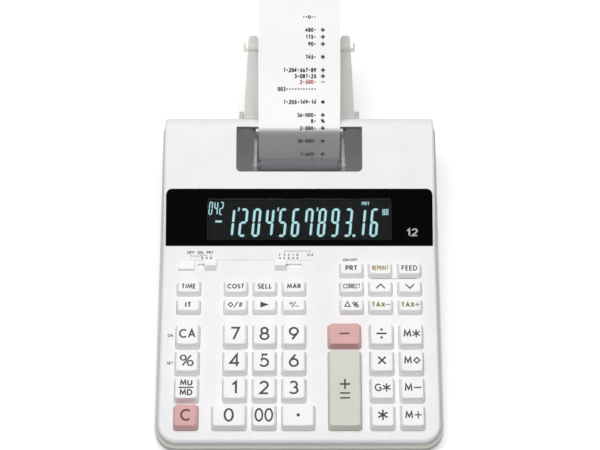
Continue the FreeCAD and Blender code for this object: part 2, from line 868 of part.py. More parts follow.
def make_arm(side, length):
    """One arm, drawn flat along y from the pivot, with its roll pin and outer hook."""
    tip = length + arm_overrun
    points = [
        Vector(arm_inner_x, 0, -arm_thickness / 2),
        Vector(arm_inner_x + arm_base_width, 0, -arm_thickness / 2),
        Vector(arm_inner_x + arm_tip_width, tip, -arm_thickness / 2),
        Vector(arm_inner_x, tip, -arm_thickness / 2),
    ]
    blade = Part.Face(rounded_wire(points, [0, 0, arm_tip_radius, arm_tip_radius]))
    blade = blade.extrude(Vector(0, 0, arm_thickness))
    pin = cylinder_x(roll_pin_radius, arm_inner_x - roll_pin_length, arm_inner_x + arm_tip_width, length, 0)
    outer = arm_inner_x + arm_tip_width + hook_reach
    hook_start = length - hook_length / 2
    half = arm_thickness / 2
    bar = box(arm_inner_x, outer, hook_start, hook_start + hook_bar, -half, half)
    prong = box(outer - hook_prong, outer, hook_start, hook_start + hook_length, -half, half)
    arm = blade.fuse([pin, bar, prong])
    return arm if side > 0 else arm.mirror(Vector(0, 0, 0), Vector(1, 0, 0))


def make_paper_holder():
    """Two arms on one cross bar, whose thinner ends turn in the lugs of the case."""
    run = Vector(0, arm_pin_y - pivot_y, arm_pin_height - pivot_height)
    outer = arm_inner_x + arm_base_width
    pin_reach = outer + pivot_gap + pivot_ear_width
    bar = cylinder_x(pivot_bar_radius, -outer, outer, 0, 0)
    pins = cylinder_x(pivot_pin_radius, -pin_reach, pin_reach, 0, 0)
    arms = [make_arm(side, run.Length) for side in (-1, 1)]
    holder = bar.fuse([pins] + arms).removeSplitter()
    tilt = math.degrees(math.atan2(run.z, run.y))
    return turned(holder, tilt, Vector(0, pivot_y, pivot_height))


def main():
    os.makedirs("parts", exist_ok=True)
    platen, drum, ink = roller_axes()
    parts = {
        "lower_case": make_lower_case(),
        "upper_case": make_upper_case(),
        "rubber_feet": make_rubber_feet(),
        "main_board": make_main_board(),
        "key_mat": make_key_mat(),
        "display_window": make_display_window(),
        "lcd_panel": make_lcd_panel(),
        "printer_cover": make_printer_cover(),
        "printer_frame": make_printer_frame(),
        "platen_roller": make_roller(platen, platen_radius, platen_length),
        "print_drum": make_print_drum(drum),
        "ink_roller": make_roller(ink, ink_radius, ink_length),
        "paper_holder": make_paper_holder(),
        "paper_roll": make_paper_roll(),
        "paper_tape": make_paper_tape(),
        "power_knob": make_knob(power_knob_x, knob_travel(power_step, power_positions)),
        "decimal_knob": make_knob(decimal_knob_x, knob_travel(decimal_step, decimal_positions)),
    }
    for name, *size in key_table():
        parts[name] = make_key(*size)
    for name, shape in parts.items():
        shape.translate(Vector(0, -overall_depth / 2, 0))
        shape.exportStep("parts/" + name + ".step")


main()
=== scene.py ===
import json
import math

import bmesh
import bpy
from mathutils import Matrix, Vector


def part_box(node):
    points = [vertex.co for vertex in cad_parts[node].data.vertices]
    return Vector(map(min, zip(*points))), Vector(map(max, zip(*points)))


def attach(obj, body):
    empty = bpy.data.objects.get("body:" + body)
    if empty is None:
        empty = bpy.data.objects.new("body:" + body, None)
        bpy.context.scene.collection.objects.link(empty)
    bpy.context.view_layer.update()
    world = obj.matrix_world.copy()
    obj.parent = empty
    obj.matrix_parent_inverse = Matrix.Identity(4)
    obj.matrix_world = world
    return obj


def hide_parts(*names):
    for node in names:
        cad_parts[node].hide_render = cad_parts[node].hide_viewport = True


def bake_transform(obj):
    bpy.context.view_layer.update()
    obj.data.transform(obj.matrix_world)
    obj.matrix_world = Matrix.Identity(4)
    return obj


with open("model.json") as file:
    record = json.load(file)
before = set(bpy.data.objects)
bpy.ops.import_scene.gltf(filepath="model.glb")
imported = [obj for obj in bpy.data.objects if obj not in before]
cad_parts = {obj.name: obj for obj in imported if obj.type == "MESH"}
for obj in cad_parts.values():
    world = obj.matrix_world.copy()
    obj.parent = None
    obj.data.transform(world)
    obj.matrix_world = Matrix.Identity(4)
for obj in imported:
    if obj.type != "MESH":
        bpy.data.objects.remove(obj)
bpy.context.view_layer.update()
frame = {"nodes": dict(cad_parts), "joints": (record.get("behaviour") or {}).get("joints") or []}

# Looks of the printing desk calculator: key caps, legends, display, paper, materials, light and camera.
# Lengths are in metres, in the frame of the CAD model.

nodes = frame["nodes"]
joints = {joint["name"]: joint for joint in frame["joints"]}
mm = 0.001

# Slopes of the case, as in the CAD model
deck_height = 15.5 * mm
keyboard_length = 142.8 * mm
display_length = 40.0 * mm
display_tilt = math.radians(22.0)
hood_tilt = math.radians(16.0)
wall = 2.4 * mm

# Key caps
flange_lip = 0.9 * mm
flange_setback = 0.6 * mm
flange_thickness = 1.2 * mm
flange_corner = 0.4 * mm
side_draft = 1.1 * mm
front_draft = 1.9 * mm
rear_draft = 0.7 * mm
key_dish = 0.4 * mm
key_gap = 0.3 * mm
key_spread = 0.14 * mm
key_fillet = 0.8 * mm
key_corner = 1.7 * mm
legend_depth = 0.12 * mm

# Display plate and its clear view
window_thickness = 1.2 * mm
window_front_corner = 0.5 * mm
window_rear_corner = 4.0 * mm
window_film = 0.1 * mm
film_front = 0.5 * mm
film_rear = 0.85 * mm
film_edge = 0.04 * mm
view_width = 128.6 * mm
view_front = 4.2 * mm
view_rear = 33.4 * mm
view_corner = 0.6 * mm

# Lit signs of the display, placed from the middle and the front edge of its face
number_left = -52.2 * mm
number_foot = 6.7 * mm
digit_pitch = 9.17 * mm
digit_width = 5.7 * mm
digit_height = 20.2 * mm
digit_stroke = 1.7 * mm
digit_lean = math.radians(5.5)
tick_setback = 1.5 * mm
tick_foot = 18.3 * mm
tick_head = digit_height + 0.6 * mm
tick_slant = 0.5 * mm
tick_width = 1.0 * mm
point_setback = 1.3 * mm
point_rise = 0.9 * mm
point_radius = 1.05 * mm
count_left = -63.9 * mm
count_foot = 22.2 * mm
count_pitch = 3.75 * mm
count_width = 2.7 * mm
count_height = 9.4 * mm
count_stroke = 0.75 * mm
minus_left = -58.8 * mm
minus_right = -54.2 * mm
minus_rise = 17.6 * mm
minus_width = 1.4 * mm
mode_across = 46.6 * mm
mode_along = 30.2 * mm
mode_size = 2.7 * mm
grid_columns = (59.2 * mm, 61.5 * mm)
grid_rows = (25.4 * mm, 23.1 * mm)
grid_half = 0.95 * mm
lit_depth = 0.06 * mm
twelve_across = 78.8 * mm
twelve_along = 9.6 * mm
twelve_size = 5.5 * mm

# Marks and plate beside the switches, placed from the middle and the front edge of the deck
switch_dot_radius = 0.65 * mm
leader_width = 0.3 * mm
mark_depth = 0.08 * mm
plate_left = -83.6 * mm
plate_right = -72.6 * mm
plate_front = 125.4 * mm
plate_rear = 131.4 * mm
plate_corner = 0.5 * mm
plate_foot = 1.1 * mm
plate_top = 1.4 * mm
plate_edge = 0.1 * mm
plate_inset = 0.12 * mm

# Paper, its way through the slot and its print
paper_width = 57.5 * mm
paper_thickness = 0.16 * mm
paper_gap = 0.45 * mm
paper_rise = math.radians(60.0)
paper_end = math.radians(-10.0)
curl_radius = 86.0 * mm
slot_along = 44.7 * mm
slot_depth = 1.8 * mm
tear_depth = 0.7 * mm
paper_columns = 47
paper_step = 1.5 * mm
straight_step = 4 * mm
bend_step = 0.8 * mm
join_run = 6 * mm
print_right = 11.0 * mm
print_pitch = 1.95 * mm
print_height = 3.2 * mm
print_squeeze = 0.82
print_weight = 0.265
print_dot_radius = 0.58 * mm
print_mark_across = 16.6 * mm
print_mark_size = 3.1 * mm
print_mark_weight = 0.22
ink_depth = 0.03 * mm
ink_sink = 0.01 * mm

# Paper roll
core_wall = 1.3 * mm
core_inset = 0.5 * mm
roll_sides = 96
roll_turns = 22
turn_share = 0.7
turn_dip = 0.06 * mm
turn_stagger = 0.05 * mm
turn_phase = 5.1
groove_depth = 0.12 * mm
groove_slant = 0.05 * mm
last_turn_dip = 0.1 * mm

# Softened edges
smooth_angle = math.radians(32)
bevel_angle = math.radians(40)
bevel_segments = 3
weld_gap = 0.002 * mm

# Floor, light and camera
floor_reach = 4.0
floor_near = 0.5
floor_far = 2.5
floor_grey = (0.6, 0.6, 0.6, 1)
near_glow = (0.5, 0.5, 0.5, 1)
far_glow = (0.82, 0.82, 0.82, 1)
lamp_place = (-0.1, 0.0, 1.5)
lamp_target = (0, 0, 0.03)
lamp_size = 1.0
lamp_power = 18.2
sky_strength = 0.27
camera_place = (0.0005, -0.63655, 1.14137)
camera_turn = math.radians(30)
camera_lens = 109.05


class Slope:
    """A flat face of the case: across is +X, along climbs it towards the rear, out leaves it."""

    def __init__(self, origin, tilt):
        self.origin = Vector(origin)
        self.along = Vector((0, math.cos(tilt), math.sin(tilt)))
        self.out = Vector((0, -math.sin(tilt), math.cos(tilt)))

    def point(self, across, along, out):
        return self.origin + Vector((across, 0, 0)) + self.along * along + self.out * out

    def lifted(self, ring, out):
        """A ring of (across, along) at one height over the face."""
        return [self.point(across, along, out) for across, along in ring]

    def layer(self, base):
        """A place function for flat marks on the face, from a base height."""
        return lambda across, along, up: self.point(across, along, base + up)

    def span(self, node):
        """Lowest and highest (across, along, out) of a CAD node."""
        places = []
        for vertex in nodes[node].data.vertices:
            offset = vertex.co - self.origin
            places.append((offset.x, offset.dot(self.along), offset.dot(self.out)))
        low = Vector([min(values) for values in zip(*places)])
        high = Vector([max(values) for values in zip(*places)])
        return low, high


press_axis = joints["one_press"]["axis"]
case_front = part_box("lower_case")[0].y
deck = Slope((0, case_front, deck_height), math.atan2(press_axis[1], -press_axis[2]))
display = Slope(deck.point(0, keyboard_length, 0), display_tilt)
hood = Slope(display.point(0, display_length, 0), hood_tilt)


# Materials

def new_node(tree, kind, values=None, operation=None):
    """A shader node of a kind, with the values of some of its inputs."""
    made = tree.nodes.new("ShaderNode" + kind)
    for socket, value in (values or {}).items():
        made.inputs[socket].default_value = value
    if operation:
        made.operation = operation
    return made


def link(source, target):
    """Leads one socket to another of the same tree."""
    target.id_data.links.new(source, target)


def own_place(tree):
    """The coordinates of the object itself."""
    return new_node(tree, "TexCoord").outputs["Object"]


def own_axis(tree, axis):
    """One axis of the object's own coordinates."""
    split = new_node(tree, "SeparateXYZ")
    link(own_place(tree), split.inputs["Vector"])
    return split.outputs[axis]


def noise(tree, size, detail):
    """A noise field over the object's own coordinates, with blobs of about this size."""
    field = new_node(tree, "TexNoise", {"Scale": 1 / size, "Detail": detail})
    link(own_place(tree), field.inputs["Vector"])
    return field.outputs[0]


def surface(name, colour, roughness, tone=0.02, patch=18 * mm,
            grain=0.45 * mm, depth=0.02 * mm, extra=None):
    """A finish whose colour drifts over broad patches and whose gloss and relief follow a fine grain."""
    patch_edges = 0.3, 0.7
    gloss_drift = 0.08
    least_roughness = 0.02
    relief = 0.4
    material = bpy.data.materials.new(name)
    material.use_nodes = True
    tree = material.node_tree
    shader = tree.nodes["Principled BSDF"]
    ramp = new_node(tree, "ValToRGB")
    dark, light = ramp.color_ramp.elements
    dark.position, light.position = patch_edges
    dark.color = [channel * (1 - tone) for channel in colour] + [1]
    light.color = [min(1, channel * (1 + tone)) for channel in colour] + [1]
    link(noise(tree, patch, detail=3.0), ramp.inputs["Fac"])
    link(ramp.outputs["Color"], shader.inputs["Base Color"])
    speck = noise(tree, grain, detail=2.0)
    least = max(least_roughness, roughness - gloss_drift)
    gloss = new_node(tree, "MapRange", {"To Min": least, "To Max": roughness + gloss_drift})
    link(speck, gloss.inputs["Value"])
    link(gloss.outputs["Result"], shader.inputs["Roughness"])
    bump = new_node(tree, "Bump", {"Strength": relief, "Distance": depth})
    link(speck, bump.inputs["Height"])
    link(bump.outputs["Normal"], shader.inputs["Normal"])
    for socket, value in (extra or {}).items():
        shader.inputs[socket].default_value = value
    return material


case_white = surface("case_white", (0.86, 0.86, 0.875), 0.48)
case_grey = surface("case_grey", (0.535, 0.535, 0.497), 0.5)
holder_grey = surface("holder_grey", (0.70, 0.70, 0.67), 0.5)
key_white = surface("key_white", (0.93, 0.93, 0.925), 0.36, tone=0.01)
key_grey = surface("key_grey", (0.655, 0.655, 0.585), 0.4)
key_pink = surface("key_pink", (0.69, 0.40, 0.39), 0.4)
legend_grey = surface("legend_grey", (0.05, 0.05, 0.052), 0.55, tone=0.15, patch=2 * mm)
legend_olive = surface("legend_olive", (0.24, 0.20, 0.045), 0.55, tone=0.15, patch=2 * mm)
legend_gold = surface("legend_gold", (0.30, 0.235, 0.03), 0.55, tone=0.15, patch=2 * mm)
legend_maroon = surface("legend_maroon", (0.14, 0.07, 0.072), 0.55, tone=0.15, patch=2 * mm)
legend_pale = surface("legend_pale", (0.70, 0.70, 0.70), 0.5, tone=0.05, patch=2 * mm)
dim = {"Specular IOR Level": 0.015}
window_black = surface(
    "window_black", (0.0015, 0.0015, 0.0018), 0.12, tone=0.2, depth=0.002 * mm, extra=dim,
)
pane_clear = surface(
    "pane_clear", (0.004, 0.004, 0.005), 0.08, tone=0.2, depth=0.002 * mm,
    extra={"Alpha": 0.15, "Specular IOR Level": 0.2},
)
lcd_face = surface("lcd_face", (0.018, 0.0205, 0.0215), 0.35, tone=0.12, patch=4 * mm, extra=dim)
lcd_light = surface(
    "lcd_light", (0.30, 0.62, 0.68), 0.5, tone=0.05, patch=3 * mm,
    extra={"Emission Color": (0.50, 0.76, 0.80, 1), "Emission Strength": 0.75},
)
# The cover's pale grey is partly its smoked tint and partly painted light, standing in for light on the
# shaded walls of the printer well under it.
cover_smoke = surface(
    "cover_smoke", (0.28, 0.272, 0.288), 0.14, tone=0.04, depth=0.004 * mm, extra={"Alpha": 0.26},
)
rubber_dark = surface("rubber_dark", (0.03, 0.03, 0.032), 0.8, tone=0.15, depth=0.06 * mm)
rubber_pale = surface("rubber_pale", (0.62, 0.62, 0.6), 0.75, tone=0.05, depth=0.05 * mm)
board_green = surface("board_green", (0.03, 0.16, 0.06), 0.35, tone=0.2, patch=6 * mm)
frame_grey = surface("frame_grey", (0.80, 0.79, 0.81), 0.55, tone=0.05)
drum_grey = surface("drum_grey", (0.30, 0.30, 0.31), 0.4, tone=0.15)
ink_felt = surface("ink_felt", (0.40, 0.385, 0.43), 0.95, tone=0.15, patch=1.5 * mm, depth=0.2 * mm)
# Its white emission colour carries painted light: the strip's faint glow just above the slot.
paper_white = surface(
    "paper_white", (0.885, 0.885, 0.885), 0.85, tone=0.01, grain=0.2 * mm, depth=0.015 * mm,
    extra={"Emission Color": (1, 1, 1, 1)},
)
roll_white = surface("roll_white", (0.88, 0.88, 0.87), 0.85, tone=0.03, patch=6 * mm, grain=0.2 * mm)
core_card = surface("core_card", (0.42, 0.31, 0.19), 0.9, tone=0.12, patch=3 * mm, depth=0.05 * mm)
print_black = surface("print_black", (0.018, 0.017, 0.021), 0.8, tone=0.35, patch=0.8 * mm)
print_red = surface("print_red", (0.42, 0.14, 0.13), 0.8, tone=0.25, patch=0.8 * mm)


def even_glow(material, low, high, strength):
    """Paints light on a material: a faint glow just above a height, fading to nothing at a greater one.
    """
    onset = 0.02
    tree = material.node_tree
    share = new_node(tree, "MapRange", {"From Min": low, "From Max": high})
    fade = new_node(tree, "ValToRGB")
    below, above = fade.color_ramp.elements
    below.color = above.color = (0, 0, 0, 1)
    fade.color_ramp.elements.new(onset).color = (strength, strength, strength, 1)
    link(own_axis(tree, "Z"), share.inputs["Value"])
    link(share.outputs["Result"], fade.inputs["Fac"])
    link(fade.outputs["Color"], tree.nodes["Principled BSDF"].inputs["Emission Strength"])


def darker_middle(material, inner, outer, share):
    """Darkens a material to a share of its colour near X = 0, fading out from inner to outer; the paler
    colour left further out is painted light.
    """
    tree = material.node_tree
    colour = tree.nodes["Principled BSDF"].inputs["Base Color"]
    reach = new_node(tree, "Math", operation="ABSOLUTE")
    level = new_node(tree, "MapRange", {"From Min": inner, "From Max": outer, "To Min": share})
    tint = new_node(tree, "VectorMath", operation="SCALE")
    link(own_axis(tree, "X"), reach.inputs[0])
    link(reach.outputs[0], level.inputs["Value"])
    link(colour.links[0].from_socket, tint.inputs[0])
    link(level.outputs["Result"], tint.inputs["Scale"])
    link(tint.outputs["Vector"], colour)


# Mesh helpers

def put(name, data):
    """An object of this name and data, linked to the scene."""
    thing = bpy.data.objects.new(name, data)
    bpy.context.scene.collection.objects.link(thing)
    return thing


def add_piece(name, bm, material, body, slot, replaced=()):
    """Makes a named piece of a finished bmesh; it rides on a CAD body unless that is None."""
    bmesh.ops.recalc_face_normals(bm, faces=bm.faces)
    mesh = bpy.data.meshes.new(name)
    bm.to_mesh(mesh)
    bm.free()
    mesh.shade_smooth()
    mesh.set_sharp_from_angle(angle=smooth_angle)
    mesh.materials.append(material)
    piece = put(name, mesh)
    if replaced:
        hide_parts(*replaced)
    if body:
        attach(piece, body)
    return piece


def skin(bm, rings):
    """Quads between rings of points that all have the same count; returns the rows of vertices."""
    rows = [[bm.verts.new(point) for point in ring] for ring in rings]
    for low, high in zip(rows, rows[1:]):
        for i in range(len(low)):
            bm.faces.new((low[i - 1], low[i], high[i], high[i - 1]))
    return rows


def closed_skin(bm, rings):
    """A skin whose last ring meets its first one, as on a picture frame."""
    rows = skin(bm, rings + rings[:1])
    bmesh.ops.remove_doubles(bm, verts=rows[0] + rows[-1], dist=weld_gap)


def capped_skin(bm, rings):
    """A skin through rings of rounded_ring, closed at both ends by strips from front to rear."""
    rows = skin(bm, rings)
    for row in (rows[0], rows[-1]):
        half = len(row) // 2
        front = row[:half]
        rear = row[half:][::-1]
        for i in range(half - 1):
            bm.faces.new((front[i], front[i + 1], rear[i + 1], rear[i]))


def rounded_ring(x0, x1, y0, y1, front_radius, rear_radius, steps=5, spans=8):
    """A rounded rectangle: front edge from left to right, then rear edge back, at matching places."""
    def edge(y, inward, radius):
        """One edge and half of the round at each of its ends."""
        points = []
        for i in range(steps):
            angle = math.pi / 2 * i / steps
            x = x0 + radius * (1 - math.cos(angle))
            points.append((x, y + inward * radius * (1 - math.sin(angle))))
        for i in range(spans + 1):
            points.append((x0 + radius + (x1 - x0 - 2 * radius) * i / spans, y))
        for i in range(steps):
            angle = math.pi / 2 * (i + 1) / steps
            x = x1 - radius * (1 - math.sin(angle))
            points.append((x, y + inward * radius * (1 - math.cos(angle))))
        return points
    return edge(y0, 1, front_radius) + edge(y1, -1, rear_radius)[::-1]


def arc(x, y, across, up, start, end):
    """Points of an elliptic arc, from one angle in degrees to another, in steps of up to 15 degrees."""
    count = max(3, math.ceil(abs(end - start) / 15))
    angles = [math.radians(start + (end - start) * i / count) for i in range(count + 1)]
    return [(x + across * math.cos(angle), y + up * math.sin(angle)) for angle in angles]


# Width and strokes of each letter, figure and sign, one unit high from the foot
glyphs = {
    "0": (0.62, [arc(0.31, 0.5, 0.31, 0.5, 0, 360)]),
    "1": (0.28, [[(0, 0.74), (0.26, 1), (0.26, 0)]]),
    "2": (0.6, [arc(0.3, 0.71, 0.28, 0.29, 165, -38) + [(0.02, 0), (0.6, 0)]]),
    "3": (0.58, [arc(0.27, 0.745, 0.26, 0.255, 150, -90), arc(0.27, 0.265, 0.31, 0.265, 80, -150)]),
    "4": (0.68, [[(0.5, 0), (0.5, 1), (0, 0.27), (0.68, 0.27)]]),
    "5": (0.58, [[(0.53, 1), (0.14, 1), (0.09, 0.56)] + arc(0.26, 0.32, 0.32, 0.32, 122, -150)]),
    "6": (0.62, [arc(0.31, 0.31, 0.31, 0.31, 0, 360), [(0.44, 1), (0.06, 0.5)]]),
    "7": (0.6, [[(0, 1), (0.6, 1), (0.18, 0)]]),
    "8": (0.6, [arc(0.3, 0.755, 0.245, 0.245, 0, 360), arc(0.3, 0.265, 0.3, 0.265, 0, 360)]),
    "9": (0.62, [arc(0.31, 0.69, 0.31, 0.31, 0, 360), [(0.18, 0), (0.56, 0.5)]]),
    "A": (0.8, [[(0, 0), (0.4, 1), (0.8, 0)], [(0.14, 0.33), (0.66, 0.33)]]),
    "C": (0.82, [arc(0.48, 0.5, 0.48, 0.5, 48, 312)]),
    "D": (0.74, [[(0, 0.5), (0, 1)] + arc(0.26, 0.5, 0.48, 0.5, 90, -90) + [(0, 0), (0, 0.5)]]),
    "E": (0.5, [[(0.5, 1), (0, 1), (0, 0), (0.5, 0)], [(0, 0.53), (0.45, 0.53)]]),
    "F": (0.5, [[(0.5, 1), (0, 1), (0, 0)], [(0, 0.52), (0.44, 0.52)]]),
    "G": (0.86, [arc(0.48, 0.5, 0.48, 0.5, 48, 330) + [(0.86, 0.45), (0.54, 0.45)]]),
    "I": (0.06, [[(0.03, 0), (0.03, 1)]]),
    "L": (0.46, [[(0, 1), (0, 0), (0.46, 0)]]),
    "M": (0.92, [[(0, 0), (0.1, 1), (0.46, 0.22), (0.82, 1), (0.92, 0)]]),
    "N": (0.7, [[(0, 0), (0, 1), (0.7, 0), (0.7, 1)]]),
    "O": (0.96, [arc(0.48, 0.5, 0.48, 0.5, 0, 360)]),
    "P": (0.52, [[(0, 0), (0, 1)] + arc(0.26, 0.74, 0.26, 0.26, 90, -90) + [(0, 0.48)]]),
    "R": (0.52, [
        [(0, 0), (0, 1)] + arc(0.26, 0.74, 0.26, 0.26, 90, -90) + [(0, 0.48)],
        [(0.24, 0.48), (0.58, 0)],
    ]),
    "S": (0.52, [arc(0.26, 0.74, 0.23, 0.26, 45, 255) + arc(0.26, 0.25, 0.26, 0.25, 80, -140)]),
    "T": (0.6, [[(0.3, 0), (0.3, 1)], [(0, 1), (0.6, 1)]]),
    "U": (0.66, [[(0, 1)] + arc(0.33, 0.33, 0.33, 0.33, 180, 360) + [(0.66, 1)]]),
    "X": (0.68, [[(0, 0), (0.68, 1)], [(0, 1), (0.68, 0)]]),
    "%": (0.9, [
        arc(0.2, 0.76, 0.19, 0.24, 0, 360), arc(0.7, 0.24, 0.19, 0.24, 0, 360),
        [(0.16, 0), (0.74, 1)],
    ]),
    "#": (0.7, [
        [(0.12, 0), (0.28, 1)], [(0.42, 0), (0.58, 1)],
        [(0, 0.33), (0.66, 0.33)], [(0.04, 0.67), (0.7, 0.67)],
    ]),
    "/": (0.42, [[(0, 0), (0.42, 1)]]),
}
letter_gap = 0.08
least_mitre = 0.35


def ribbon(points, width):
    """Quads of even width along a line of points, mitred at its corners; closed if its ends meet."""
    line = [Vector(point) for point in points]
    closed = (line[0] - line[-1]).length < 1e-6
    if closed:
        line = line[:-1]
    count = len(line)
    sides = []
    for i, here in enumerate(line):
        back = (here - line[i - 1]).normalized() if closed or i > 0 else None
        ahead = (line[(i + 1) % count] - here).normalized() if closed or i < count - 1 else None
        run = ((back or ahead) + (ahead or back)).normalized()
        square = Vector((-(ahead or back).y, (ahead or back).x))
        side = Vector((-run.y, run.x))
        side *= width / 2 / max(least_mitre, side.dot(square))
        sides.append((tuple(here + side), tuple(here - side)))
    pairs = list(zip(sides, sides[1:] + sides[:1]))
    if not closed:
        pairs.pop()
    return [[right, ahead_right, ahead_left, left] for (left, right), (ahead_left, ahead_right) in pairs]


def letters(words, weight):
    """Faces of some words in strokes of a weight, one unit high over all, centred on their box."""
    shape = []
    reach = 1 - weight
    x = 0.0
    for letter in words:
        width, strokes = glyphs[letter]
        for stroke in strokes:
            shape += ribbon([(x + px * reach, py * reach) for px, py in stroke], weight)
        x += width * reach + weight + letter_gap
    right = x - weight - letter_gap
    return [[(px - right / 2, py - reach / 2) for px, py in face] for face in shape]


def placed(shape, size, x, y, squeeze=1.0):
    """A unit shape at a size and place, with its width times the squeeze."""
    return [[(px * size * squeeze + x, py * size + y) for px, py in polygon] for polygon in shape]


def bar(x0, y0, x1, y1, width):
    """A straight stroke with square ends."""
    run = Vector((x1 - x0, y1 - y0)).normalized()
    side = Vector((-run.y, run.x)) * width / 2
    start = Vector((x0, y0))
    end = Vector((x1, y1))
    return [tuple(start - side), tuple(end - side), tuple(end + side), tuple(start + side)]


def disc(x, y, radius, count=20, start=0.0):
    """A round dot: a polygon of some corners, the first one at the angle start."""
    angles = [start + 2 * math.pi * i / count for i in range(count)]
    return [(x + radius * math.cos(angle), y + radius * math.sin(angle)) for angle in angles]


def outline(points, share):
    """The band between a polygon round the origin and the same polygon made smaller."""
    inner = [(x * share, y * share) for x, y in points]
    return [[points[i - 1], points[i], inner[i], inner[i - 1]] for i in range(len(points))]


def chevron(upward):
    """An arrow head without a shaft, one unit wide, pointing up, or down if upward is -1."""
    stroke = 0.21
    left = [(-0.5, -0.25), (-0.5, -0.25 + stroke), (0, 0.25 + stroke), (0, 0.25)]
    right = [(0.5, -0.25), (0, 0.25), (0, 0.25 + stroke), (0.5, -0.25 + stroke)]
    return [[(x, upward * (y - stroke / 2)) for x, y in polygon] for polygon in (left, right)]


def arms(count, start, inner, half):
    """The arms of a cross or star one unit wide, from an inner reach, each twice as wide as half."""
    shape = []
    for i in range(count):
        angle = start + 2 * math.pi * i / count
        cosine, sine = math.cos(angle), math.sin(angle)
        arm = [(inner, -half), (0.5, -half), (0.5, half), (inner, half)]
        shape.append([(x * cosine - y * sine, x * sine + y * cosine) for x, y in arm])
    return shape


def cross(turn, half):
    """A plus sign one unit wide, turned by an angle, of five faces."""
    return [disc(0, 0, half * math.sqrt(2), 4, turn + math.pi / 4)] + arms(4, turn, half, half)


def star(half):
    """A six-armed star one unit high."""
    return [disc(0, 0, 2 * half, 6)] + arms(6, math.pi / 2, half / math.tan(math.pi / 6), half)


# Shapes of the drawn signs, one unit wide or high
signs = {
    "minus": [bar(-0.5, 0, 0.5, 0, 0.17)],
    "plus": cross(0, 0.084),
    "times": cross(math.pi / 4, 0.08),
    "equals": [bar(-0.5, 0.25, 0.5, 0.25, 0.15), bar(-0.5, -0.25, 0.5, -0.25, 0.15)],
    "divide": [bar(-0.5, 0, 0.5, 0, 0.16), disc(0, 0.4, 0.125), disc(0, -0.4, 0.125)],
    "star": star(0.077),
    "dot": [disc(0, 0, 0.5)],
    "diamond": outline([(0.5, 0), (0, 0.5), (-0.5, 0), (0, -0.5)], 0.52),
    "triangle": outline([(0.58, -0.34), (0, 0.66), (-0.58, -0.34)], 0.54),
    "play": [[(-0.5, -0.35), (0.5, 0), (-0.5, 0.35)]],
    "up": chevron(1),
    "down": chevron(-1),
    "slash": [bar(-0.3, -0.5, 0.3, 0.5, 0.165)],
    "line": [bar(-0.5, 0, 0.5, 0, 0.08)],
    "percent": letters("%", 0.105),
    "small percent": letters("%", 0.15),
    "bold plus": cross(0, 0.16),
    "bold minus": [bar(-0.5, 0, 0.5, 0, 0.24)],
    "bold star": star(0.12),
}


def sign(words, weight):
    """The unit shape of a drawn sign, or of some words in strokes of this weight."""
    return signs[words] if words in signs else letters(words, weight)


def add_marks(name, polygons, place, thickness, material, body):
    """Flat polygons given a thickness and laid out by place(x, y, height)."""
    bm = bmesh.new()
    for polygon in polygons:
        bm.faces.new([bm.verts.new((x, y, 0)) for x, y in polygon])
    bmesh.ops.remove_doubles(bm, verts=bm.verts, dist=weld_gap)
    raised = bmesh.ops.extrude_face_region(bm, geom=bm.faces[:], use_keep_orig=True)
    for part in raised["geom"]:
        if isinstance(part, bmesh.types.BMVert):
            part.co.z = thickness
    for vertex in bm.verts:
        vertex.co = place(*vertex.co)
    return add_piece(name, bm, material, body, None)


# Key caps and their legends

def add_key(node, material, slot):
    """A drafted cap with rounded edges and a dished top, on its flange.

    Returns the middle of its top across and along the deck, and the top's height by the place across.
    """
    low, high = deck.span(node)
    x0 = low.x + flange_lip
    x1 = high.x - flange_lip
    base = low.z + flange_thickness
    height = high.z
    middle = (x0 + x1) / 2
    top_half = (x1 - x0) / 2 - side_draft

    def ring(up, inset):
        """The cap's outline at a height: straight below the deck, tapered above it."""
        share = max(0, up / height)
        spread = key_spread * (1 - share)
        return rounded_ring(
            x0 + side_draft * share + inset - spread, x1 - side_draft * share - inset + spread,
            low.y + front_draft * share + inset - spread, high.y - rear_draft * share - inset + spread,
            key_corner, key_corner)

    def sink(x):
        """Depth of the dish."""
        return key_dish * (1 - min(1, abs(x - middle) / top_half) ** 2)

    bm = bmesh.new()
    rings = []
    for up in (base, 0, height - 2 * key_fillet, height - key_fillet):
        rings.append(deck.lifted(ring(up, 0), up))
    steps = 4
    for i in range(1, steps + 1):
        angle = math.pi / 2 * i / steps
        up = height - key_fillet + key_fillet * math.sin(angle)
        inset = key_fillet * (1 - math.cos(angle))
        weight = math.sin(angle) ** 2
        rings.append([deck.point(x, y, up - sink(x) * weight) for x, y in ring(up, inset)])
    capped_skin(bm, rings)
    flange = rounded_ring(
        low.x, high.x, low.y + flange_setback, high.y - flange_setback,
        flange_corner, flange_corner, steps=2, spans=1)
    capped_skin(bm, [deck.lifted(flange, out) for out in (low.z, base)])
    add_piece(node + "_cap", bm, material, node, slot, [node])
    centre = (low.y + front_draft + high.y - rear_draft) / 2
    return middle, centre, lambda x: high.z - sink(x)


# Stroke widths of the legends, as shares of their height: by size in millimetres, and of some words
small_legend, large_legend = 4.5, 9.0
small_weight, usual_weight, large_weight = 0.21, 0.17, 0.135
word_weights = {"#": 0.155, "M": 0.185, "FEED": 0.19, "IT": 0.23, "TAX": 0.24}


def legend_weight(text, size):
    """The stroke width of a word: small ones are bolder, large ones finer."""
    if text in word_weights:
        return word_weights[text]
    if size < small_legend:
        return small_weight
    if size > large_legend:
        return large_weight
    return usual_weight


def add_legend(node, top, words, material):
    """The words and signs of one key, as one thin printed layer on its dished top."""
    middle, centre, top_height = top
    polygons = []
    for text, size, x, y, squeeze in words:
        polygons += placed(sign(text, legend_weight(text, size)), size * mm, x * mm, y * mm, squeeze)

    def place(x, y, up):
        across = middle + x
        return deck.point(across, centre + y, top_height(across) + up - legend_depth / 2)

    add_marks(node + "_legend", polygons, place, legend_depth, material, node)


def word(text, size, x=0.0, y=0.0, squeeze=1.0):
    """A word or sign of a legend: its size and its place on the key in millimetres, and its squeeze."""
    return text, size, x, y, squeeze


